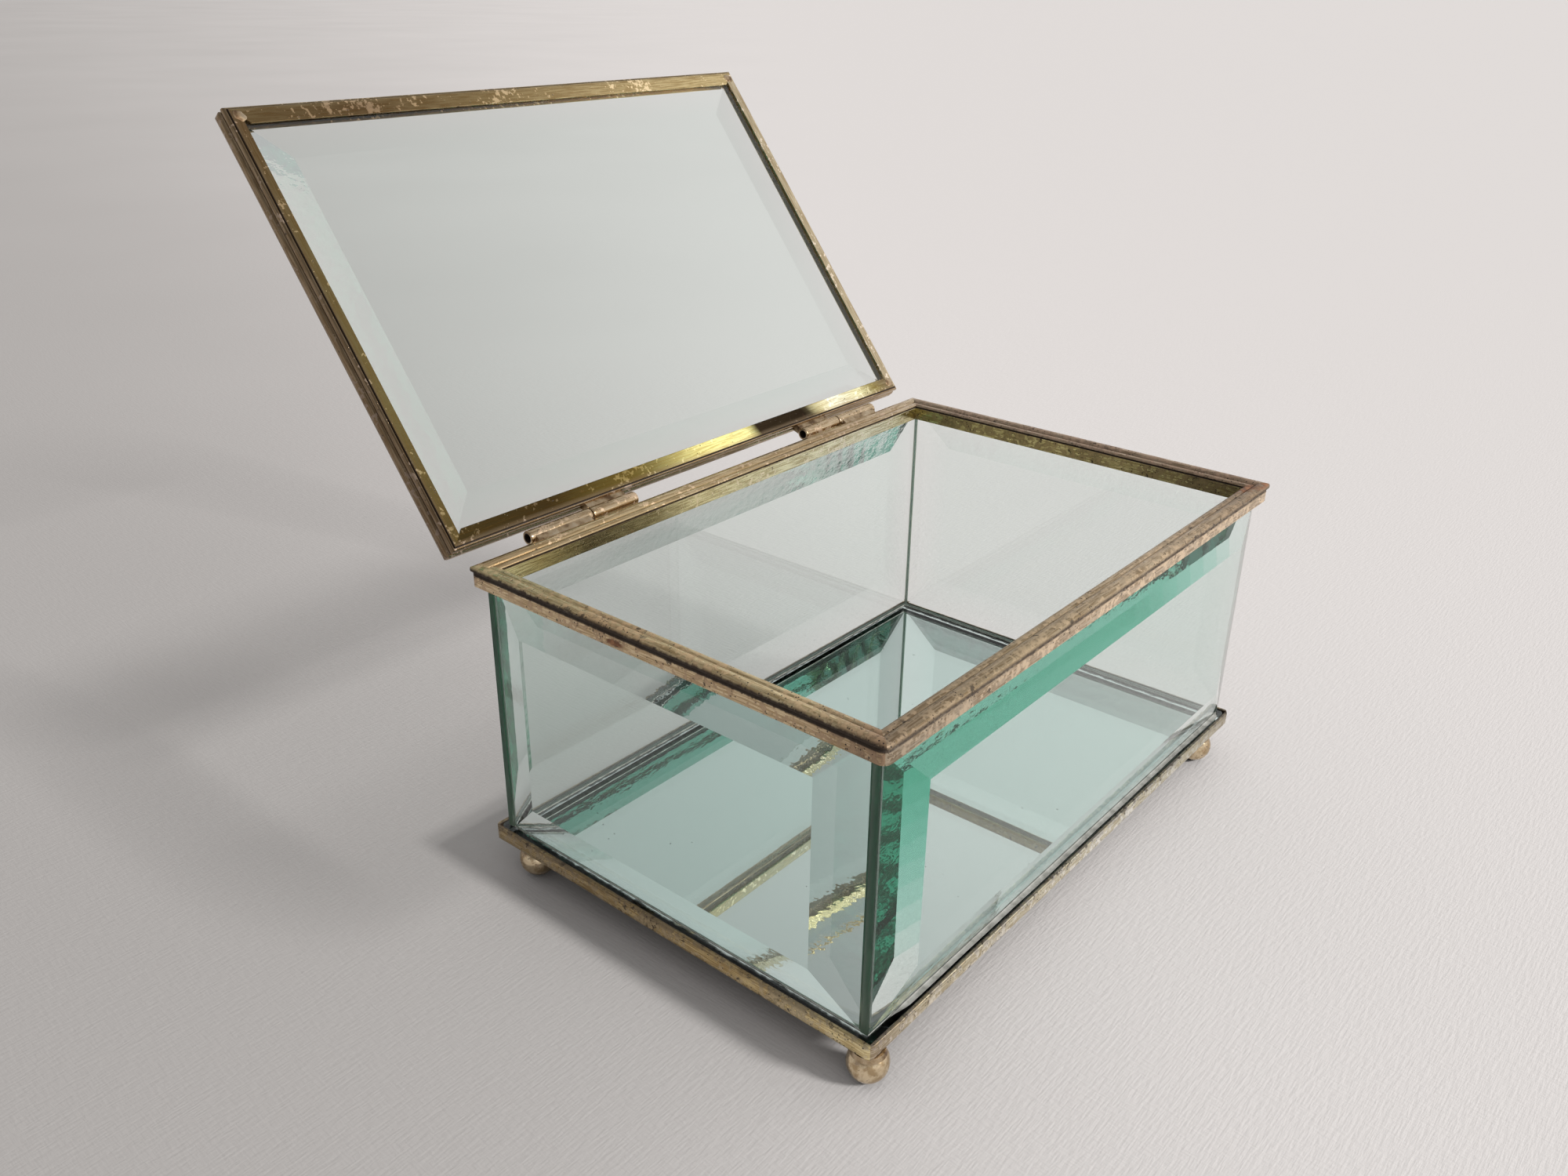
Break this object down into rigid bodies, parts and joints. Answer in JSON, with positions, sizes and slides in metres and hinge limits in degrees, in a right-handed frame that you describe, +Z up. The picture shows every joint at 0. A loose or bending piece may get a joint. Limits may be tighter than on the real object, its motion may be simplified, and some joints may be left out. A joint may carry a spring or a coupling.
{
  "type": "glass casket box",
  "caption": "Rectangular casket box of bevelled glass in aged brass channel, with a mirror base, ball feet and a glass lid on tube hinges, shown open.",
  "frame": {"origin": "middle of the box, on the surface that its ball feet stand on", "axes": "+X along the hinge edge, to the right seen from the front; +Y to the back, towards the hinges; +Z up. The lid is open at rest."},
  "size_m": [0.1616, 0.1829, 0.1607],
  "materials": {
    "clear_glass": "clear float glass with a green edge, ground and polished bevels",
    "mirror_plate": "silvered glass plate with darkened edges",
    "aged_brass": "oxidised tan brass with black pits and orange rust spots",
    "foot_brass": "worn bright ball feet with dark spots",
    "hinge_tube": "drawn tube, brighter along its top, dark at the ends",
    "hinge_wire": "dark drawn wire",
    "solder": "dull tin-lead solder with small bright beads",
    "bedding": "aged clear adhesive, cloudy"
  },
  "bodies": {
    "box": {"base_mirror": "mirror_plate", "base_strip_front": "aged_brass", "base_strip_back": "aged_brass", "base_strip_left": "aged_brass", "base_strip_right": "aged_brass", "foot_front_left": "foot_brass", "foot_front_right": "foot_brass", "foot_back_left": "foot_brass", "foot_back_right": "foot_brass", "foot_solder": "solder", "wall_bedding": "bedding", "wall_glass_front": "clear_glass", "wall_glass_back": "clear_glass", "wall_glass_left": "clear_glass", "wall_glass_right": "clear_glass", "rim_front": "aged_brass", "rim_back": "aged_brass", "rim_left": "aged_brass", "rim_right": "aged_brass", "hinge_left_box_knuckle": "hinge_tube", "hinge_left_pin": "hinge_wire", "hinge_right_box_knuckle": "hinge_tube", "hinge_right_pin": "hinge_wire", "hinge_solder_box": "solder"},
    "lid": {"lid_frame_front": "aged_brass", "lid_frame_back": "aged_brass", "lid_frame_left": "aged_brass", "lid_frame_right": "aged_brass", "lid_glass": "clear_glass", "hinge_left_lid_knuckle": "hinge_tube", "hinge_right_lid_knuckle": "hinge_tube", "hinge_solder_lid": "solder"}
  },
  "joints": [
    {"name": "lid_hinge", "type": "hinge", "parent": "box", "child": "lid", "pos_m": [0, 0.0562, 0.0755], "axis": [1, 0, 0], "range_deg": [0, 128.2]}
  ]
}
